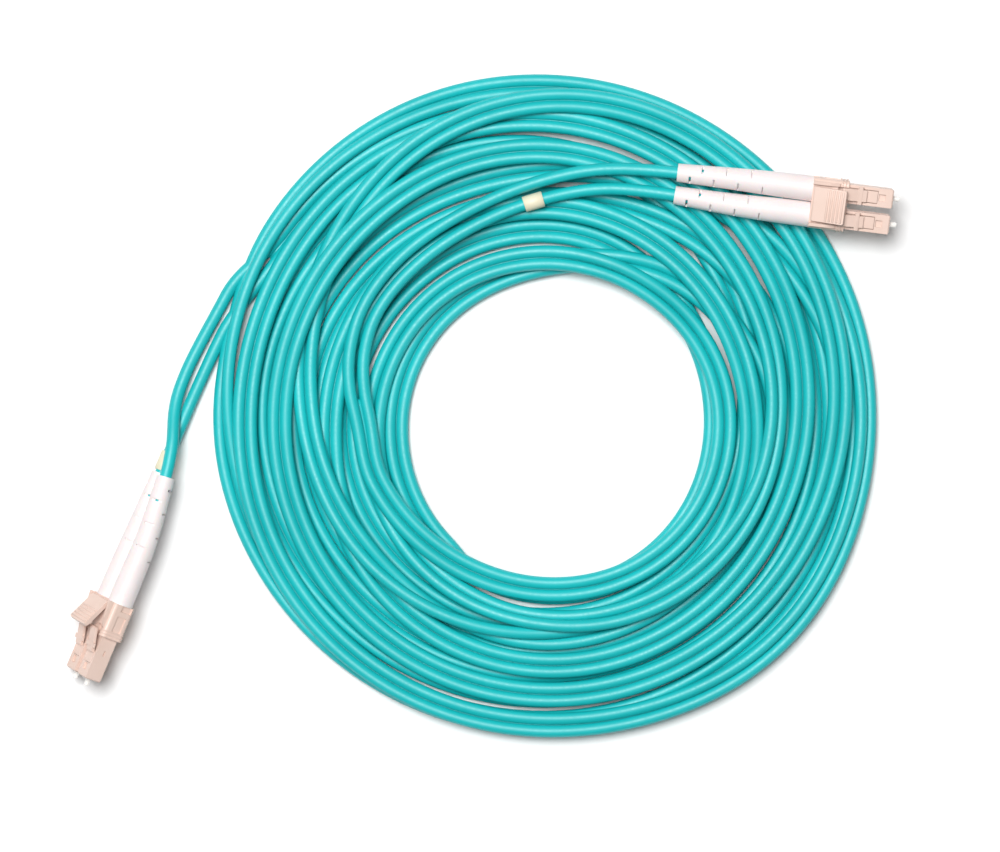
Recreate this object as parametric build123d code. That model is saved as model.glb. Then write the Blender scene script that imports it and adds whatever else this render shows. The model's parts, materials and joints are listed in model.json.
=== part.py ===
"""Duplex LC to LC fibre patch cord: 5 m of 3 mm twin cord in one hank, a plug pair on each end.

Row frame: millimetres, +Z up, the cord lies on z = 0. Each plug pair is built in its own frame,
where +X is the mating direction, x = 0 is the housings' front face, +Z is the latch side and
y = +-PITCH / 2 are the ferrule axes, and is then placed with one Plane.
"""

from build123d import *
from math import cos, radians, sin, tan
import os

os.makedirs("parts", exist_ok=True)

# Driving dimensions, in mm
CORD_D = 3.0
PITCH = 6.25
BODY = 4.52
NOSE = 10.8
CLIP_LENGTH = 8.6
HOUSING_LENGTH = 16.6
FERRULE_D = 1.249
FERRULE_OUT = 1.8
FERRULE_SEAT_D = 0.92
SEAT_FRONT = -4.55
CHAMBER_D = 2.6
BOOT_LENGTH = 32.4
BOOT_FRONT_D = 6.1
BOOT_TAIL_D = 4.4
BOOT_BORE_D = 3.4
CLIP_WALL = 0.62
SEAT_GAP = 0.06
LEVER_WIDTH = 2.8
CHANNEL_WIDTH = 3.1
CHANNEL_FLOOR = 1.62

CLIP_FRONT = -NOSE
CLIP_REAR = -NOSE - CLIP_LENGTH
BOOT_BEND = CLIP_REAR - 17.0
JACKET_END = CLIP_REAR - 5.4
EXIT_RUN = 6.0
LATCH_PIVOT = (-4.0, 0, 1.95)
TRIGGER_PIVOT = (CLIP_REAR + 0.75, 0, 3.75)
TRIGGER_LENGTH = 7.6
TRIGGER_WIDTH = 8.2

MARKER_D = 4.0
MARKER_LENGTH = 4.8

COIL_HEIGHT = 8.0
COIL_OUTER = (14.3, 0.2, 80.2)
COIL_INNER = (17.0, -6.2, 37.6)


# The plug pairs: where the front centre is, the mating direction, the roll about it, and how far
# the trigger stands open. tails is each boot's tail (y, z) offset from its straight line.
PAIRS = {
    "a": dict(front=(98.0, 46.6, 11.9), heading=-7.1, roll=10, open=17,
              tails={1: (-0.3, -0.9), 2: (0.5, -0.9)}),
    "b": dict(front=(-95.9, -64.7, 6.9), heading=247.2, roll=56, open=26,
              tails={1: (-1.85, 0.85), 2: (-0.85, -0.45)}),
}
SIDES = {1: PITCH / 2, 2: -PITCH / 2}


def pair_plane(pair):
    """The plug pair's own frame: +X is the mating direction and +Z the latch side."""
    turn, roll = radians(pair["heading"]), radians(pair["roll"])
    ahead = Vector(cos(turn), sin(turn), 0)
    right = Vector(sin(turn), -cos(turn), 0)
    up = right * sin(roll) + Vector(0, 0, 1) * cos(roll)
    return Plane(origin=pair["front"], x_dir=ahead, z_dir=up)


def box(x0, x1, y0, y1, z0, z1):
    """A box between its low and high corners."""
    size = (x1 - x0, y1 - y0, z1 - z0)
    return Pos((x0 + x1) / 2, (y0 + y1) / 2, (z0 + z1) / 2) * Box(*size)


def rod(x0, x1, diameter, y=0, z=0):
    """A cylinder along X."""
    return Pos((x0 + x1) / 2, y, z) * Rot(0, 90, 0) * Cylinder(diameter / 2, x1 - x0)


def along_y(outline, width):
    """A prism of an (x, z) outline, centred on y = 0."""
    face = make_face(Polyline(*[(x, 0, z) for x, z in outline], close=True))
    return extrude(face, amount=width / 2, dir=(0, 1, 0), both=True)


def edges_along(shape, axis, low, high):
    """The edges parallel to an axis whose centre lies between two corners."""
    found = []
    for e in shape.edges().filter_by(axis):
        c = e.center()
        if all(a <= v <= b for a, v, b in zip(low, (c.X, c.Y, c.Z), high)):
            found.append(e)
    return found


def housing():
    """The plug body that goes in the adapter, open at its top for the latch."""
    half = BODY / 2
    body = box(-HOUSING_LENGTH, 0, -half, half, -half, half)
    body = chamfer(edges_along(body, Axis.X, (-99, -9, -9), (99, 9, 0)), 0.35)
    body = chamfer(body.faces().sort_by(Axis.X)[-1].edges(), 0.3)
    body -= rod(-4.7, 1, 3.0) + rod(-5.5, -4.6, 1.75) + rod(-HOUSING_LENGTH - 1, -5.4, CHAMBER_D)
    channel = CHANNEL_WIDTH / 2
    body -= box(-HOUSING_LENGTH - 1, -3.7, -channel, channel, CHANNEL_FLOOR, half + 1)
    body -= box(-3.45, -1.85, -0.8, 0.8, 1.8, half + 1)
    body -= box(-7.6, -6.4, half - 0.35, half + 1, -0.25, 0.15)
    return body


def latch():
    """The lever with its two lugs, flush with the housing at its root and rising to its tail."""
    lever = along_y([(-3.78, 1.70), (-3.78, 2.26), (-6.3, 2.32), (-6.4, 3.05), (-8.7, 3.45),
                     (-11.9, 4.35), (-12.3, 4.2), (-12.3, 3.75), (-8.7, 2.75), (-6.6, 2.1),
                     (-4.4, 1.70)], LEVER_WIDTH)
    lugs = along_y([(-7.3, 2.87), (-7.5, 3.3), (-8.5, 3.48), (-8.6, 3.08)], BODY - 0.2)
    return lever + lugs


def ferrule():
    """The ceramic ferrule, chamfered at its polished end and a little thinner where it is seated."""
    body = rod(SEAT_FRONT, FERRULE_OUT, FERRULE_D) + rod(-8.0, SEAT_FRONT, FERRULE_SEAT_D)
    return chamfer(body.faces().sort_by(Axis.X)[-1].edges(), 0.15)


def flange():
    """The metal collar pressed on the ferrule, with the tube that carries the spring."""
    body = rod(-7.0, -5.45, 2.3) + rod(-11.0, -7.0, 1.6)
    body = chamfer(body.faces().sort_by(Axis.X)[-1].edges(), 0.2)
    return body - rod(-8.0, -5, FERRULE_SEAT_D) - rod(-12, -8.0, 0.95)


def spring():
    """The compression spring between the flange and the rear body."""
    turns, wire, length, radius = 6, 0.28, 4.9, 1.02
    path = Helix(pitch=length / turns, height=length, radius=radius)
    start = path @ 0
    profile = Plane(origin=start, z_dir=path % 0) * Circle(wire / 2)
    coil = sweep(profile, path=path, is_frenet=True)
    return Pos(-12.2, 0, 0) * Rot(0, 90, 0) * coil


def rear_body():
    """The spring's seat, the square collar behind the housing and the ridged crimp stem."""
    half = BODY / 2 - SEAT_GAP
    body = rod(-17, -12.5, CHAMBER_D - 0.1)
    body += box(-19.1, -HOUSING_LENGTH - 0.05, -half, half, -half, half)
    body += rod(-24.0, -19.1, 2.4)
    for n in range(6):
        body += rod(-23.6 + n * 0.7, -23.3 + n * 0.7, 2.6)
    return body - rod(-25, -12, 1.2)


def crimp_sleeve():
    """The metal sleeve that holds the yarn on the stem."""
    return rod(-24.4, -19.5, 3.2) - rod(-25, -19, 2.62)


def buffered_fibre():
    """The 0.9 mm buffered fibre from the ferrule's flange to the cord's jacket."""
    return rod(-24.6, -9.0, 0.9)


def boot_axis(side, tails):
    """The boot's axis, bent once, with its corner and a point straight out of its tail."""
    y = SIDES[side]
    dy, dz = tails[side]
    reach = CLIP_REAR - BOOT_LENGTH - BOOT_BEND
    front, bend = Vector(CLIP_REAR, y, 0), Vector(BOOT_BEND, y, 0)
    ahead = Vector(reach, dy, dz).normalized()
    tail = bend + ahead * -reach
    turn = Vector(-1, 0, 0).get_angle(ahead)
    radius = 0.45 * (JACKET_END - BOOT_BEND) / tan(radians(turn / 2))
    outside = tail + ahead * EXIT_RUN
    return FilletPolyline(front, bend, tail, radius=radius), bend, outside


def across(path, distance):
    """A frame across the boot's axis: its Z runs along the axis and its X stays level."""
    at, along = path.position_at(distance / BOOT_LENGTH), path.tangent_at(distance / BOOT_LENGTH)
    return Plane(origin=at, x_dir=Vector(0, 0, 1).cross(along), z_dir=along).location


def boot(side, tails):
    """The bend relief: a plain front, then a taper with rings of slits, deeper to the tail."""
    path = boot_axis(side, tails)[0]
    plain, ring, rings = 11.7, 2.9, 7
    lip = 0.7
    stations = [(0, BOOT_FRONT_D), (lip, BOOT_FRONT_D), (plain, 5.75), (18, 5.35),
                (24, 4.95), (30, 4.55), (BOOT_LENGTH, BOOT_TAIL_D)]
    shape = loft([across(path, s) * Circle(d / 2) for s, d in stations])
    shape -= loft([across(path, s) * Circle(BOOT_BORE_D / 2) for s, _ in stations])
    shape -= rod(CLIP_REAR - 5.6, CLIP_REAR + 0.1, 3.5, y=SIDES[side])
    for n in range(rings):
        place = across(path, plain + 0.2 + n * ring)
        for half_turn in (0, 180):
            quarter = 45 + 90 * (n % 2) + half_turn
            reach = 2.1 - 0.09 * n
            slit = Pos(reach + 1, 0, 0) * Box(2, 2.6, 0.26 + 0.05 * n)
            shape -= place * Rot(0, 0, quarter) * slit
    return shape


def clip():
    """The duplex clip: two square barrels side by side, cut away over the latches."""
    half = BODY / 2 + SEAT_GAP
    top, low = half + CLIP_WALL, -half - CLIP_WALL
    wide = PITCH / 2 + half + CLIP_WALL
    body = box(CLIP_REAR, CLIP_FRONT, -wide, wide, low, top)
    body = fillet(body.edges().filter_by(Axis.X), 1.1)
    body += along_y([(CLIP_REAR, 2), (CLIP_REAR, 3.15), (-18.0, 3.15), (-15.0, 2.95),
                     (-13.8, 2)], TRIGGER_WIDTH + 0.6)
    for side in (-1, 1):
        cheek = along_y([(CLIP_REAR, 2.2), (CLIP_REAR, 4.3), (-15.4, 3.9), (-13.2, 3.3),
                         (-11.9, 2.2)], 0.75)
        body += Pos(0, side * (wide - 1.05), 0) * cheek
        flat = side * wide
        body -= box(CLIP_REAR - 0.1, CLIP_REAR + 1.5, flat - 0.45, flat + 0.45, -2.2, 0.6)
        body -= box(-16.6, -12.6, flat - 0.3, flat + 0.3, -1.5, 0.9)
    for n in range(3):
        x = CLIP_FRONT - 0.25 - n * 0.75
        rim = box(x - 0.16, x + 0.16, -wide - 0.18, wide + 0.18, low - 0.18, top + 0.18)
        body += fillet(rim.edges().filter_by(Axis.X), 1.2)
    for y in SIDES.values():
        body -= box(CLIP_REAR - 1, CLIP_FRONT + 1, y - half, y + half, -half, half)
        body -= box(-13.4, CLIP_FRONT + 1, y - 1.5, y + 1.5, 0, 5)
    return body


def trigger(opening):
    """The hood that presses both latches: a ridged plate on the knuckle at the clip's rear."""
    thick = 0.95
    x, _, z = TRIGGER_PIVOT
    plate = box(0, TRIGGER_LENGTH, -TRIGGER_WIDTH / 2, TRIGGER_WIDTH / 2, -thick / 2, thick / 2)
    plate = fillet(edges_along(plate, Axis.Z, (1, -99, -9), (99, 99, 9)), 0.5)
    plate += Rot(90, 0, 0) * Cylinder(thick / 2, TRIGGER_WIDTH)
    for n in range(5):
        ridge = Rot(90, 0, 0) * Cylinder(0.3, TRIGGER_WIDTH - 0.7)
        plate += Pos(TRIGGER_LENGTH - 0.75 - n * 0.9, 0, thick / 2 - 0.05) * ridge
    for y in SIDES.values():
        foot = box(TRIGGER_LENGTH - 1.9, TRIGGER_LENGTH - 1.1, y - 0.9, y + 0.9, -thick / 2 - 0.35, 0)
        plate += foot
    return Pos(x, 0, z) * Rot(0, -opening, 0) * plate


def cord_path(name, points):
    """Straight runs joined by arcs as large as the runs allow, as a cord lies."""
    points = [Vector(*p) for p in points]
    radii = []
    for before, at, after in zip(points, points[1:], points[2:]):
        turn = (at - before).get_angle(after - at)
        shorter = min((at - before).length, (after - at).length)
        radii.append(0.45 * shorter / tan(radians(turn / 2)))
    print(name, "radii", [round(r, 1) for r in radii])
    return FilletPolyline(*points, radius=radii)


def tube(name, points):
    """One leg of the cord along its route."""
    path = cord_path(name, points)
    shape = sweep(Plane(origin=path @ 0, z_dir=path % 0) * Circle(CORD_D / 2), path=path)
    print(name, "length", round(path.length, 1), "volume ratio",
          round(shape.volume / (path.length * Circle(CORD_D / 2).area), 4))
    return shape


def coil():
    """The outer shape of the hank: a ring of two or three layers, wider on one side."""
    x, y, r = COIL_OUTER
    ring = Pos(x, y, COIL_HEIGHT / 2) * Cylinder(r, COIL_HEIGHT)
    x, y, r = COIL_INNER
    ring -= Pos(x, y, COIL_HEIGHT / 2) * Cylinder(r, COIL_HEIGHT + 2)
    return fillet(ring.edges().filter_by(GeomType.CIRCLE), 2.6)


def marker(leg, near):
    """The marker ring, a short sleeve on one leg, at the place nearest to a point."""
    path = cord_path(leg, ROUTES[leg])
    steps = [n / 400 for n in range(401)]
    middle = min(steps, key=lambda t: (path.position_at(t) - Vector(*near)).length)
    ring = Cylinder(MARKER_D / 2, MARKER_LENGTH) - Cylinder(CORD_D / 2 + 0.1, MARKER_LENGTH + 1)
    return path.location_at(middle) * ring


# The legs on top of the hank and on the floor. Each starts in its boot, and its listed points
# follow from just outside the boot's tail to inside the hank.
LEGS = {
    "a1": [(28.5, 57.1, 9.8), (16.5, 54.9, 9.7), (4.2, 50.8, 9.7), (-9.9, 43.6, 9.7),
           (-20.9, 35.1, 9.7), (-28.9, 24.4, 9.7), (-32.1, 13.4, 9.7), (-32.0, 4.0, 8.9),
           (-29.9, -4.6, 6.2)],
    "a2": [(28.4, 52.6, 9.9), (16.1, 50.4, 10.2), (3.9, 46.4, 10.1), (-8.9, 39.6, 9.7),
           (-18.8, 31.4, 9.7), (-25.7, 22.4, 9.7), (-28.6, 12.9, 9.7), (-28.5, 4.0, 8.9),
           (-26.6, -4.4, 6.2)],
    "b1": [(-74.5, -0.2, 3.4), (-71.8, 8.0, 1.9), (-68.0, 15.6, 1.6), (-63.6, 23.6, 1.6),
           (-59.9, 30.6, 1.6)],
    "b2": [(-71.0, -0.3, 1.6), (-67.4, 7.8, 1.6), (-64.2, 14.8, 1.6), (-60.9, 21.3, 1.6)],
}


def world(plane, point):
    """A point of the plug pair's frame in the row frame."""
    v = plane.from_local_coords(Vector(*point))
    return (v.X, v.Y, v.Z)


PIECES = {
    "housing": housing, "latch": latch, "ferrule": ferrule, "flange": flange, "spring": spring,
    "rear_body": rear_body, "crimp_sleeve": crimp_sleeve, "fibre": buffered_fibre,
}


def save(shape, node):
    """Writes one node, as a closed solid."""
    print(node, "valid" if shape.is_valid else "NOT VALID", round(shape.volume, 2))
    export_step(shape, f"parts/{node}.step")


ROUTES = {}
MARKERS = {"a": ("leg_a2", (12.8, 49.2, 9.7)), "b": ("leg_b2", (-76.0, -13.6, 2.2))}


def main():
    made = {name: make() for name, make in PIECES.items()}
    clip_shape = clip()
    for pair, facts in PAIRS.items():
        plane = pair_plane(facts)
        for side, y in SIDES.items():
            for name, shape in made.items():
                save(plane.location * Pos(0, y, 0) * shape, f"{name}_{pair}{side}")
            save(plane.location * boot(side, facts["tails"]), f"boot_{pair}{side}")
            bend, outside = boot_axis(side, facts["tails"])[1:]
            leg = f"leg_{pair}{side}"
            straight = [world(plane, p) for p in (Vector(JACKET_END, y, 0), bend, outside)]
            route = straight + LEGS[f"{pair}{side}"]
            ROUTES[leg] = route
            save(tube(leg, route), leg)
            print(leg, "route", [[round(v, 2) for v in p] for p in route])
        save(plane.location * clip_shape, f"clip_{pair}")
        save(plane.location * trigger(facts["open"]), f"trigger_{pair}")
        save(marker(*MARKERS[pair]), f"marker_ring_{pair}")
        pivots = TRIGGER_PIVOT, Vector(*LATCH_PIVOT) + Vector(0, SIDES[1], 0)
        print("pair", pair, "trigger and latch pivots", [world(plane, p) for p in pivots])
    save(coil(), "coil")


main()
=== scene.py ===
"""The looks of a duplex fibre patch cord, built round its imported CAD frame.

Row frame, in metres: +Z up, and the cord lies on z = 0. The hank's own sizes are in millimetres
and degrees, and MM turns them into metres. The twin cord is wound from end A, on top of the
hank, anticlockwise to end B, underneath, and its turns settle on each other under gravity.
"""

import json
import math

import bpy
import numpy as np
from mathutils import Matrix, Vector


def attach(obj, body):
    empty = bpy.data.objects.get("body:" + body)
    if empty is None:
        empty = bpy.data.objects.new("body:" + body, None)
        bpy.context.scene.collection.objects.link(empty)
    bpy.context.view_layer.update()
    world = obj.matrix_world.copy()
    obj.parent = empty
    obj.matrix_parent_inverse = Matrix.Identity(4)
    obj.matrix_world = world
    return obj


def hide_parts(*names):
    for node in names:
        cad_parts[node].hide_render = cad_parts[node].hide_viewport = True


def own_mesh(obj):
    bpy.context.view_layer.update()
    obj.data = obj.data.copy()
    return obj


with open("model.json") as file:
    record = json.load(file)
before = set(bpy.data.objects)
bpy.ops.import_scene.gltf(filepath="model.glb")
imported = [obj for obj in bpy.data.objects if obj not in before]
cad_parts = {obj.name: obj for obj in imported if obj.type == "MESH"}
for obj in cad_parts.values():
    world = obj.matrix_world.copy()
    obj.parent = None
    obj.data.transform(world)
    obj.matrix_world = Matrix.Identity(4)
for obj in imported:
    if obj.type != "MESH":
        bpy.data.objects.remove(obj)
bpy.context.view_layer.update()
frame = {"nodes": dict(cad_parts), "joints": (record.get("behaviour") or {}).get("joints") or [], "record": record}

MM = 0.001
CORD_D = 3.0
LEGS = (1, 2)

# The hank: a ring with its hole off centre
HANK_CENTRE = np.array([14.3, 0.2])
HANK_R = 79.2
HOLE_CENTRE = np.array([17.0, -6.2])
HOLE_R = 37.6

# The winding: slices of each turn, and the angles of its first and last slice. The shares and
# pulls below are those of one step of the settling.
TURNS = 12
SLICES = 36
SLICE = 360 / SLICES
FIRST = 70
LAST = 360 * TURNS + 170
COUNT = int((LAST - FIRST) / SLICE) + 1
STRAND_GAP = 1.01 * CORD_D
PAIR_GAP = 1.02 * CORD_D
LAYER_RISE = 1.6  # how much higher each earlier turn starts, before it settles
SETTLING = 900
EARLY_STEPS = 0.75 * SETTLING
EARLY = (0.06, 0.35, 2)  # sinking and pull to the plan, stiffness in height, pushes a step
LATE = (0.01, 0.2, 6)
BEND_STIFFNESS = 0.35
PUSH = 0.35
PAIR_PULL = 0.25
END_PULL = 0.5
FAN_REACH = 6.0
FAN_SHARE = 0.02
TINY = 1e-9

# Where each turn lies across the hank, from 0 at the hole to 1 outside: top, left, bottom, right
PASSES = [
    (0.46, 0.17, -0.05, 0.10), (0.04, 0.05, 0.15, 0.46), (0.69, 0.65, 0.78, 0.84),
    (1.00, 0.48, 0.35, 0.24), (0.33, 0.30, 0.55, 0.60), (0.86, 0.87, 1.00, 0.98),
    (1.00, 1.00, 0.98, 0.97), (0.43, 0.60, 0.58, 0.56), (0.35, 0.52, 0.40, 0.40),
    (0.00, 0.00, 0.00, 0.00), (0.20, 0.25, 0.21, 0.20), (0.72, 0.81, 0.80, 0.80),
]
LAST_PASS = (0.90, 0.97)
LAST_SHORT = 30
SOFTEN_SLICES = 5
SWAYS = [(0.5, 0.71, 1), (0.35, 2.37, 0)]
BULGE_AT = 316 + 5 * 360
BULGE_WIDTH = 28
BULGE = 3.5
FLIPS = (3.25, 9.3)
FLIP_TURNS = 0.35

# The legs outside the hank, each from its boot: the CAD tubes' routes. The points of end A from
# OFF_HANK on lie on the hank, and sink towards the turns once those have settled.
END_A = {
    1: [(73.77, 52.72, 12.44), (62.26, 54.15, 12.44), (41.04, 56.6, 11.14), (28.5, 57.1, 9.8),
        (16.5, 54.9, 9.7), (4.2, 50.8, 9.7), (-9.9, 43.6, 9.7), (-20.9, 35.1, 9.7),
        (-28.9, 24.4, 9.7), (-32.1, 13.4, 9.7), (-32.0, 4.0, 8.9), (-29.9, -4.6, 6.2)],
    2: [(73.01, 46.61, 11.36), (61.5, 48.05, 11.36), (40.42, 51.58, 10.25), (28.4, 52.6, 9.9),
        (16.1, 50.4, 10.2), (3.9, 46.4, 10.1), (-8.9, 39.6, 9.7), (-18.8, 31.4, 9.7),
        (-25.7, 22.4, 9.7), (-28.6, 12.9, 9.7), (-28.5, 4.0, 8.9), (-26.6, -4.4, 6.2)],
}
END_B = {
    1: [(-84.68, -42.51, 9.49), (-80.18, -31.82, 9.49), (-74.17, -11.34, 8.03),
        (-74.5, -0.2, 3.4), (-71.8, 8.0, 1.9), (-68.0, 15.6, 1.6), (-63.6, 23.6, 1.6),
        (-59.9, 30.6, 1.6)],
    2: [(-87.9, -41.16, 4.31), (-83.41, -30.47, 4.31), (-75.26, -10.72, 2.98),
        (-71.0, -0.3, 1.6), (-67.4, 7.8, 1.6), (-64.2, 14.8, 1.6), (-60.9, 21.3, 1.6)],
}
OFF_HANK = 3
LIFT_FADE = 0.5
END_MARGIN = 3

# The marker rings: the leg each is on, a place near it, and (distance along, radius) of its section
MARKERS = {"a": (2, (12.8, 49.2, 6.0)), "b": (2, (-76.0, -13.6, 3.2))}
MARKER_STATIONS = [(-2.4, 1.53), (-2.4, 1.8), (-2.25, 1.95), (2.25, 1.95), (2.4, 1.8), (2.4, 1.53)]
MARKER_SIDES = 32

# The web between the legs, which ends where they are further apart than its reach in cord widths
WEB_REACH = 1.2
WEB_THICKNESS = 0.2

# The plugs' coil springs
SPRING_TURNS = 6
SPRING_WIRE = 0.28
SPRING_LENGTH = 4.88
SPRING_R = 1.02
SPRING_RINGS = 24 * SPRING_TURNS + 1
SPRING_SIDES = 8

# The mouldings' soft edges
MOULDED = ("housing", "latch", "clip", "trigger")
EDGE_WIDTH = 0.08
EDGE_ANGLE = 35
WELD = 0.001

# The studio, in metres: lights are (name, place, size, power), and all of them face the origin
FLOOR_SIZE = 6
FLOOR_DROP = 0.0002
WORLD_STRENGTH = 0.05
LIGHTS = [
    ("softbox", (-0.2, 0.26, 1.2), 0.62, 19.5),
    ("fill", (0.8, -0.6, 0.9), 0.8, 1.5),
]
CAMERA = (0.00445, -0.0048, 0.9)
CAMERA_LENS = 133.5
CAMERA_SENSOR = 36


# ---- The hank ----

def hole_edge(angle):
    """How far the hole's edge is from the hank's centre, towards an angle."""
    a = np.radians(angle)
    x, y = HOLE_CENTRE - HANK_CENTRE
    across = y * np.cos(a) - x * np.sin(a)
    return x * np.cos(a) + y * np.sin(a) + np.sqrt(HOLE_R ** 2 - across ** 2)


def polar(points):
    """The angles of listed points about the hank's centre, and how far past its hole."""
    offset = np.array([p[:2] for p in points]) - HANK_CENTRE
    angle = np.degrees(np.arctan2(offset[:, 1], offset[:, 0])) % 360
    return angle, np.hypot(offset[:, 0], offset[:, 1]) - hole_edge(angle)


def planned(angle):
    """How far past the hole's edge the twin cord is meant to lie, at each angle of its winding."""
    shares = [share for turn in PASSES for share in turn] + list(LAST_PASS)
    quarters = 90 + 90 * np.arange(len(shares))
    quarters[-1] -= LAST_SHORT
    reach = SOFTEN_SLICES * SLICE * np.linspace(-1, 1, 2 * SOFTEN_SLICES + 1)
    weight = np.hanning(len(reach) + 2)[1:-1]
    spread_shares = np.interp(angle[:, None] + reach, quarters, shares) @ (weight / weight.sum())
    a = np.radians(angle)
    sway = sum(size * np.sin(rate * a + phase) for size, rate, phase in SWAYS)
    bulge = BULGE * np.exp(-((angle - BULGE_AT) / BULGE_WIDTH) ** 2)
    room = HANK_R - hole_edge(angle) - 2 * CORD_D
    return CORD_D + spread_shares * room + sway + bulge


def by_turn(values):
    """Both legs' values as one row for each turn of each leg."""
    spare = (TURNS + 1) * SLICES - COUNT
    return np.pad(values, ((0, 0), (0, spare))).reshape(2 * (TURNS + 1), SLICES)


def by_leg(rows):
    """Rows of turns as one row for each leg again."""
    return rows.reshape(2, -1)[:, :COUNT]


def push_apart(past, height, pairs):
    """Moves strands that lie in one another apart, within each slice of the hank."""
    p, h = by_turn(past), by_turn(height)
    dp, dh = p[:, None] - p[None], h[:, None] - h[None]
    distance = np.hypot(dp, dh) + TINY
    overlap = np.where(pairs, np.maximum(STRAND_GAP - distance, 0), 0)
    for values, offset in ((past, dp), (height, dh)):
        step = PUSH * overlap * offset / distance
        values += by_leg(step.sum(1) - step.sum(0))


def fan_out(past, height, pairs):
    """Spreads strands of one layer a little, as loose turns fan out to fill the hank."""
    p, h = by_turn(past), by_turn(height)
    dp, dh = p[:, None] - p[None], h[:, None] - h[None]
    near = pairs & (np.abs(dh) < CORD_D / 2)
    step = np.where(near, FAN_SHARE * np.sign(dp) * np.maximum(FAN_REACH - np.abs(dp), 0), 0)
    past += by_leg(step.sum(1) - step.sum(0))


def hold_pair(past, height, free):
    """Keeps the two legs side by side, as the web between them does."""
    dp, dh = past[0] - past[1], height[0] - height[1]
    distance = np.hypot(dp, dh) + TINY
    pull = np.where(free, PAIR_PULL * (distance - PAIR_GAP) / distance, 0)
    for values, offset in ((past, dp), (height, dh)):
        values[0] -= pull * offset
        values[1] += pull * offset


def hold_ends(past, angle):
    """Puts the slices beside the listed ends on their routes, and says which those are."""
    held = np.zeros(past.shape, bool)
    for row, leg in enumerate(LEGS):
        over = polar(END_A[leg][OFF_HANK:])
        under = polar(END_B[leg][:OFF_HANK:-1])
        for (bearing, reach), here, beside in (
                (over, angle, angle <= over[0][-1]),
                (under, angle - 360 * TURNS, angle - 360 * TURNS >= under[0][0] - END_MARGIN)):
            past[row, beside] = np.interp(here[beside], bearing, reach)
            held[row] |= beside
    return held


def wind():
    """Lays the twin cord turn by turn and lets it settle: its angles, and both legs' places."""
    angle = FIRST + SLICE * np.arange(COUNT)
    turn = (angle - FIRST) / 360
    flips = [np.clip((turn - at) / FLIP_TURNS, 0, 1) for at in FLIPS]
    roll = math.pi * (flips[0] - flips[1])
    half = np.array([[1], [-1]]) * PAIR_GAP / 2
    past = planned(angle) + half * np.cos(roll)
    height = CORD_D / 2 + LAYER_RISE * (TURNS - turn) + half * np.sin(roll)
    held = hold_ends(past, angle)
    free = ~held.any(0)
    target = past.copy()
    there = by_turn(np.ones(past.shape)) > 0
    pairs = there[:, None] & there[None] & np.triu(np.ones((len(there),) * 2, bool), 1)[..., None]
    for step in range(SETTLING):
        pull, stiffness, repeats = LATE if step > EARLY_STEPS else EARLY
        height -= pull
        past += np.where(held, END_PULL, pull) * (target - past)
        past -= target
        for values, share in ((past, BEND_STIFFNESS), (height, stiffness)):
            values[:, 1:-1] += share * ((values[:, :-2] + values[:, 2:]) / 2 - values[:, 1:-1])
        past += target
        fan_out(past, height, pairs)
        for _ in range(repeats):
            push_apart(past, height, pairs)
            hold_pair(past, height, free)
            np.maximum(height, CORD_D / 2, out=height)
    return angle, past, height


def leg_points(leg, angle, past, height):
    """One leg from boot to boot: its route on the hank, the turns, and its route on the floor."""
    on_hank, on_floor = END_A[leg][OFF_HANK:], END_B[leg]
    bearings = polar(on_hank)[0]
    points = list(END_A[leg][:OFF_HANK])
    for n, ((x, y, z), bearing) in enumerate(zip(on_hank, bearings)):
        lying = np.interp(bearing, angle, height)
        points.append((x, y, lying + (z - lying) * LIFT_FADE ** (n + 1)))
    start = bearings[-1] + SLICE / 2
    end = 360 * TURNS + polar(on_floor[-1:])[0][0] - SLICE / 2
    for a, p, z in zip(angle, past, height):
        if start < a < end:
            reach = hole_edge(a) + p
            bearing = math.radians(a)
            x, y = HANK_CENTRE + reach * np.array([math.cos(bearing), math.sin(bearing)])
            points.append((x, y, z))
    return points + on_floor[::-1]


# ---- Pieces ----

def spline(name, points):
    """A smooth curve with these control points, given in millimetres."""
    curve = bpy.data.curves.new(name, "CURVE")
    curve.dimensions = "3D"
    curve.resolution_u = 5
    line = curve.splines.new("NURBS")
    line.points.add(len(points) - 1)
    for knot, point in zip(line.points, points):
        knot.co = (*(v * MM for v in point), 1)
    line.order_u = 3
    line.use_endpoint_u = True
    piece = bpy.data.objects.new(name, curve)
    bpy.context.scene.collection.objects.link(piece)
    return piece


def centreline(piece):
    """The points that a curve's own line goes through, before it has any thickness."""
    bpy.context.view_layer.update()
    mesh = bpy.data.meshes.new_from_object(piece)
    line = np.array([v.co for v in mesh.vertices])
    bpy.data.meshes.remove(mesh)
    return line


def mesh_piece(name, vertices, faces, material):
    """A smooth-shaded mesh on the cord's body."""
    mesh = bpy.data.meshes.new(name)
    mesh.from_pydata([tuple(v) for v in vertices], [], faces)
    mesh.validate()
    mesh.shade_smooth()
    mesh.materials.append(material)
    piece = bpy.data.objects.new(name, mesh)
    bpy.context.scene.collection.objects.link(piece)
    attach(piece, "cord")
    return piece


def loop_faces(rings, around, closed):
    """The quads of a swept section, capped at both ends unless it closes on itself."""
    faces = []
    for r in range(rings if closed else rings - 1):
        a, b = r * around, (r + 1) % rings * around
        for k in range(around):
            j = (k + 1) % around
            faces.append((a + k, a + j, b + j, b + k))
    if not closed:
        faces.append(tuple(range(around))[::-1])
        faces.append(tuple((rings - 1) * around + k for k in range(around)))
    return faces


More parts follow.
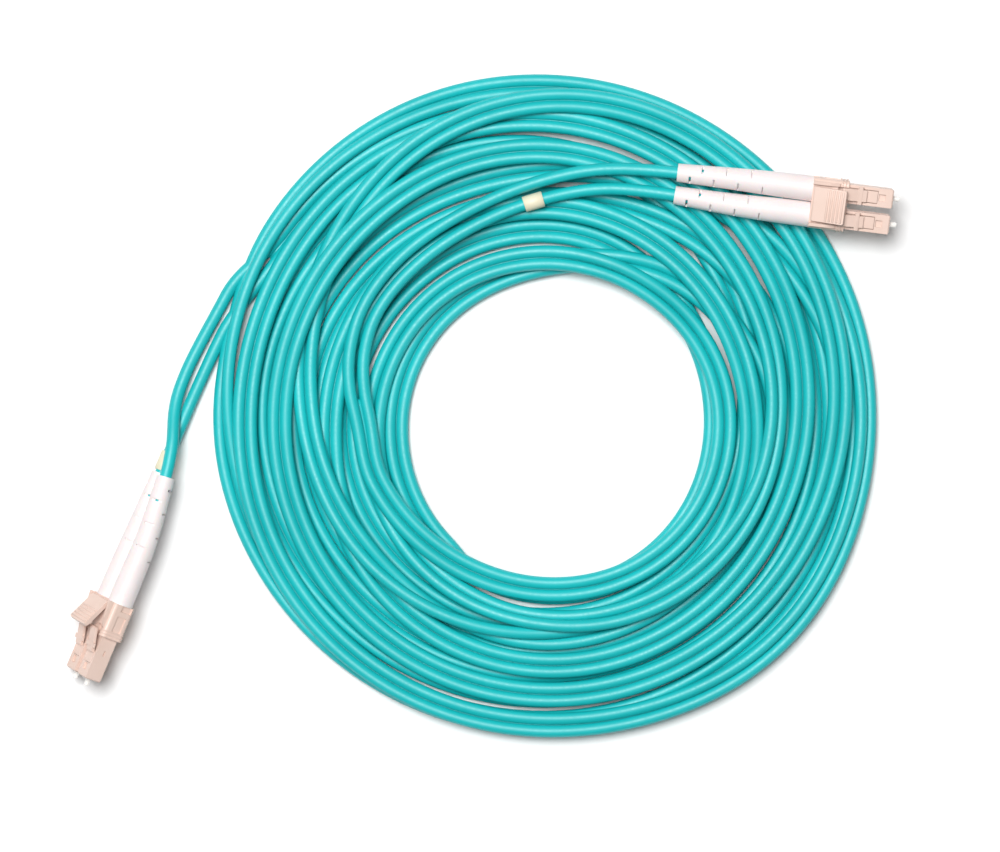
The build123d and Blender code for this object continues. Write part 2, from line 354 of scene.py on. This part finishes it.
def web(lines, material):
    """The thin web that joins the two legs, from where they part at one end to the other."""
    a, b = (line[:min(map(len, lines))] for line in lines)
    apart = np.linalg.norm(a - b, axis=1)
    joined = np.flatnonzero(apart < WEB_REACH * CORD_D * MM)
    a, b = (line[joined[0]:joined[-1] + 1] for line in (a, b))
    along = np.gradient(a + b, axis=0)
    normal = np.cross(along, b - a)
    normal *= WEB_THICKNESS * MM / 2 / np.linalg.norm(normal, axis=1)[:, None]
    corners = np.stack([a + normal, b + normal, b - normal, a - normal], axis=1)
    faces = loop_faces(len(a), 4, False)
    return mesh_piece("cord_web", corners.reshape(-1, 3), faces, material)


def sleeve(name, line, near, stations, material):
    """A turned sleeve round a centreline: stations are (distance along, radius) in millimetres."""
    middle = int(np.argmin(np.linalg.norm(line - np.array(near) * MM, axis=1)))
    reach = np.r_[0, np.cumsum(np.linalg.norm(np.diff(line, axis=0), axis=1))]
    vertices = []
    for distance, radius in stations:
        s = reach[middle] + distance * MM
        at, ahead = (Vector([np.interp(t, reach, line[:, k]) for k in range(3)]) for t in (s, s + MM))
        along = (ahead - at).normalized()
        side = along.cross(Vector((0, 0, 1))).normalized()
        up = side.cross(along)
        for k in range(MARKER_SIDES):
            turn = 2 * math.pi * k / MARKER_SIDES
            vertices.append(at + (side * math.cos(turn) + up * math.sin(turn)) * radius * MM)
    return mesh_piece(name, vertices, loop_faces(len(stations), MARKER_SIDES, True), material)


def spring(end, material):
    """A plug's coil spring, built as one fixed piece at its full length."""
    joint = next(j for j in frame["joints"] if j["name"] == f"ferrule_{end}_float")
    back = Vector(joint["axis"])
    seat = Vector(joint["deforming_nodes"][0]["fixed_end_m"])
    side = back.cross(Vector((0, 0, 1))).normalized()
    up = side.cross(back)
    vertices = []
    for k in range(SPRING_RINGS):
        share = k / (SPRING_RINGS - 1)
        turn = 2 * math.pi * SPRING_TURNS * share
        out = side * math.cos(turn) + up * math.sin(turn)
        rise = SPRING_WIRE / 2 + share * (SPRING_LENGTH - SPRING_WIRE)
        for corner in range(SPRING_SIDES):
            a = 2 * math.pi * corner / SPRING_SIDES
            reach = SPRING_R + SPRING_WIRE / 2 * math.cos(a)
            along = rise + SPRING_WIRE / 2 * math.sin(a)
            vertices.append(seat + (out * reach - back * along) * MM)
    piece = mesh_piece(f"coil_spring_{end}", vertices, loop_faces(SPRING_RINGS, SPRING_SIDES, False),
                       material)
    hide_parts(f"spring_{end}")
    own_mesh(piece)
    return piece


# ---- Materials ----

def grain(nodes, links, scale, detail=3.0):
    """Noise in the object's own space, in features per metre."""
    place = nodes.new("ShaderNodeTexCoord")
    noise = nodes.new("ShaderNodeTexNoise")
    noise.inputs["Scale"].default_value = scale
    noise.inputs["Detail"].default_value = detail
    links.new(place.outputs["Object"], noise.inputs["Vector"])
    return noise.outputs["Fac"]


def spread(nodes, links, value, low, high):
    """The noise's middle range stretched between two numbers."""
    ramp = nodes.new("ShaderNodeMapRange")
    for socket, number in (("From Min", 0.3), ("From Max", 0.7), ("To Min", low), ("To Max", high)):
        ramp.inputs[socket].default_value = number
    links.new(value, ramp.inputs["Value"])
    return ramp.outputs["Result"]


def finish(name, light, dark, rough, patch, grit, relief, **constants):
    """A material that varies between two colours in patches and has a fine relief.

    rough is the (lowest, highest) roughness, patch and grit are features per metre, relief is
    in metres, and the constants are set on the shader's own sockets.
    """
    material = bpy.data.materials.new(name)
    material.use_nodes = True
    nodes, links = material.node_tree.nodes, material.node_tree.links
    shader = nodes["Principled BSDF"]
    broad = grain(nodes, links, patch)
    mix = nodes.new("ShaderNodeMix")
    mix.data_type = "RGBA"
    mix.inputs["A"].default_value = (*dark, 1)
    mix.inputs["B"].default_value = (*light, 1)
    links.new(spread(nodes, links, broad, 0, 1), mix.inputs["Factor"])
    links.new(mix.outputs["Result"], shader.inputs["Base Color"])
    fine = grain(nodes, links, grit, 5.0)
    links.new(spread(nodes, links, fine, *rough), shader.inputs["Roughness"])
    bump = nodes.new("ShaderNodeBump")
    bump.inputs["Distance"].default_value = relief
    bump.inputs["Strength"].default_value = 0.6
    links.new(fine, bump.inputs["Height"])
    links.new(bump.outputs["Normal"], shader.inputs["Normal"])
    for socket, number in constants.items():
        shader.inputs[socket.replace("_", " ")].default_value = number
    return material


def make_materials():
    """Every finish of the cord, by the record's slot."""
    return {
        "jacket": finish("aqua_jacket", (0.003, 0.51, 0.525), (0.001, 0.455, 0.47), (0.42, 0.54),
                         60, 1500, 0.00001, Specular_IOR_Level=0.75),
        "boot": finish("white_boot", (0.86, 0.785, 0.78), (0.83, 0.75, 0.745), (0.42, 0.58),
                       120, 2500, 0.00002, Subsurface_Weight=0.15, Subsurface_Scale=0.001),
        "connector_plastic": finish("beige_plastic", (0.79, 0.60, 0.52), (0.75, 0.56, 0.475),
                                    (0.32, 0.45), 150, 3000, 0.000012),
        "ceramic": finish("zirconia", (0.90, 0.89, 0.86), (0.88, 0.86, 0.82), (0.08, 0.16), 200,
                          4000, 0.000002, Coat_Weight=0.5),
        "nickel": finish("nickel", (0.72, 0.69, 0.63), (0.66, 0.63, 0.58), (0.18, 0.3), 300, 5000,
                         0.000003, Metallic=1.0),
        "spring_steel": finish("spring_steel", (0.62, 0.62, 0.63), (0.5, 0.5, 0.51), (0.2, 0.35),
                               300, 6000, 0.000003, Metallic=1.0),
        "crimp_metal": finish("crimp_metal", (0.75, 0.75, 0.76), (0.66, 0.66, 0.67), (0.3, 0.45),
                              300, 4000, 0.00001, Metallic=1.0),
        "buffer": finish("fibre_buffer", (0.9, 0.9, 0.88), (0.86, 0.86, 0.84), (0.25, 0.35), 200,
                         3000, 0.000004),
        "marker": finish("cream_marker", (0.82, 0.77, 0.58), (0.78, 0.72, 0.53), (0.4, 0.5), 300,
                         3000, 0.00001),
    }


# ---- The scene ----

def soften(node):
    """Rounds a moulding's edges a little, as its tool does."""
    weld = node.modifiers.new("weld", "WELD")
    weld.merge_threshold = WELD * MM
    bevel = node.modifiers.new("soft_edges", "BEVEL")
    bevel.width = EDGE_WIDTH * MM
    bevel.segments = 2
    bevel.limit_method = "ANGLE"
    bevel.angle_limit = math.radians(EDGE_ANGLE)
    bevel.harden_normals = True


def dress_nodes(materials):
    """Gives each CAD node the finish of its slot."""
    for part in frame["record"]["subparts"]:
        node = frame["nodes"][part["node"]]
        node.data.materials.clear()
        node.data.materials.append(materials[part["material_slot"]])


def cord_pieces():
    """The CAD nodes that each leg carries at its two ends."""
    kinds = ("housing", "latch", "ferrule", "flange", "rear_body", "crimp_sleeve", "fibre", "boot")
    found = {}
    for leg in LEGS:
        names = [f"{kind}_{pair}{leg}" for kind in kinds for pair in MARKERS]
        found[leg] = [frame["nodes"][n] for n in names]
    return found


def build_cord(materials):
    """Both legs, the web between them and the marker rings."""
    angle, past, height = wind()
    carried = cord_pieces()
    cords, lines = {}, {}
    for row, leg in enumerate(LEGS):
        cords[leg] = spline(f"cord_{leg}", leg_points(leg, angle, past[row], height[row]))
        lines[leg] = centreline(cords[leg])
    web(list(lines.values()), materials["jacket"])
    for pair, (leg, near) in MARKERS.items():
        ring = sleeve(f"marker_{pair}", lines[leg], near, MARKER_STATIONS, materials["marker"])
        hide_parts(f"marker_ring_{pair}")
        carried[leg].append(ring)
    for leg in LEGS:
        carried[leg] += [spring(f"{pair}{leg}", materials["spring_steel"]) for pair in MARKERS]
    for leg, piece in cords.items():
        piece.data.bevel_depth = CORD_D / 2 * MM
        piece.data.bevel_resolution = 6
        piece.data.use_fill_caps = True
        piece.data.materials.append(materials["jacket"])
        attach(piece, "cord")
        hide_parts(f"leg_a{leg}", f"leg_b{leg}", "coil")


def build_stage():
    """A white floor, soft light from above and from the upper left, and the camera."""
    scene = bpy.context.scene
    scene.view_settings.view_transform = "Standard"
    world = bpy.data.worlds.new("studio")
    world.use_nodes = True
    world.node_tree.nodes["Background"].inputs["Color"].default_value = (1, 1, 1, 1)
    world.node_tree.nodes["Background"].inputs["Strength"].default_value = WORLD_STRENGTH
    scene.world = world
    bpy.ops.mesh.primitive_plane_add(size=FLOOR_SIZE, location=(0, 0, -FLOOR_DROP))
    floor = bpy.context.object
    floor.name = "floor"
    floor.data.materials.append(finish("paper", (0.93, 0.93, 0.93), (0.92, 0.92, 0.92), (0.8, 0.9),
                                       20, 900, 0.00001))
    for name, place, size, power in LIGHTS:
        light = bpy.data.lights.new(name, "AREA")
        light.size = size
        light.energy = power
        lamp = bpy.data.objects.new(name, light)
        lamp.location = place
        lamp.rotation_euler = (-Vector(place)).to_track_quat("-Z", "Y").to_euler()
        scene.collection.objects.link(lamp)
    camera = bpy.data.cameras.new("camera")
    camera.sensor_width = CAMERA_SENSOR
    camera.lens = CAMERA_LENS
    holder = bpy.data.objects.new("camera", camera)
    holder.location = CAMERA
    scene.collection.objects.link(holder)
    scene.camera = holder


materials = make_materials()
dress_nodes(materials)
build_cord(materials)
for node_name, node in frame["nodes"].items():
    if node_name.split("_")[0] in MOULDED:
        soften(node)
build_stage()
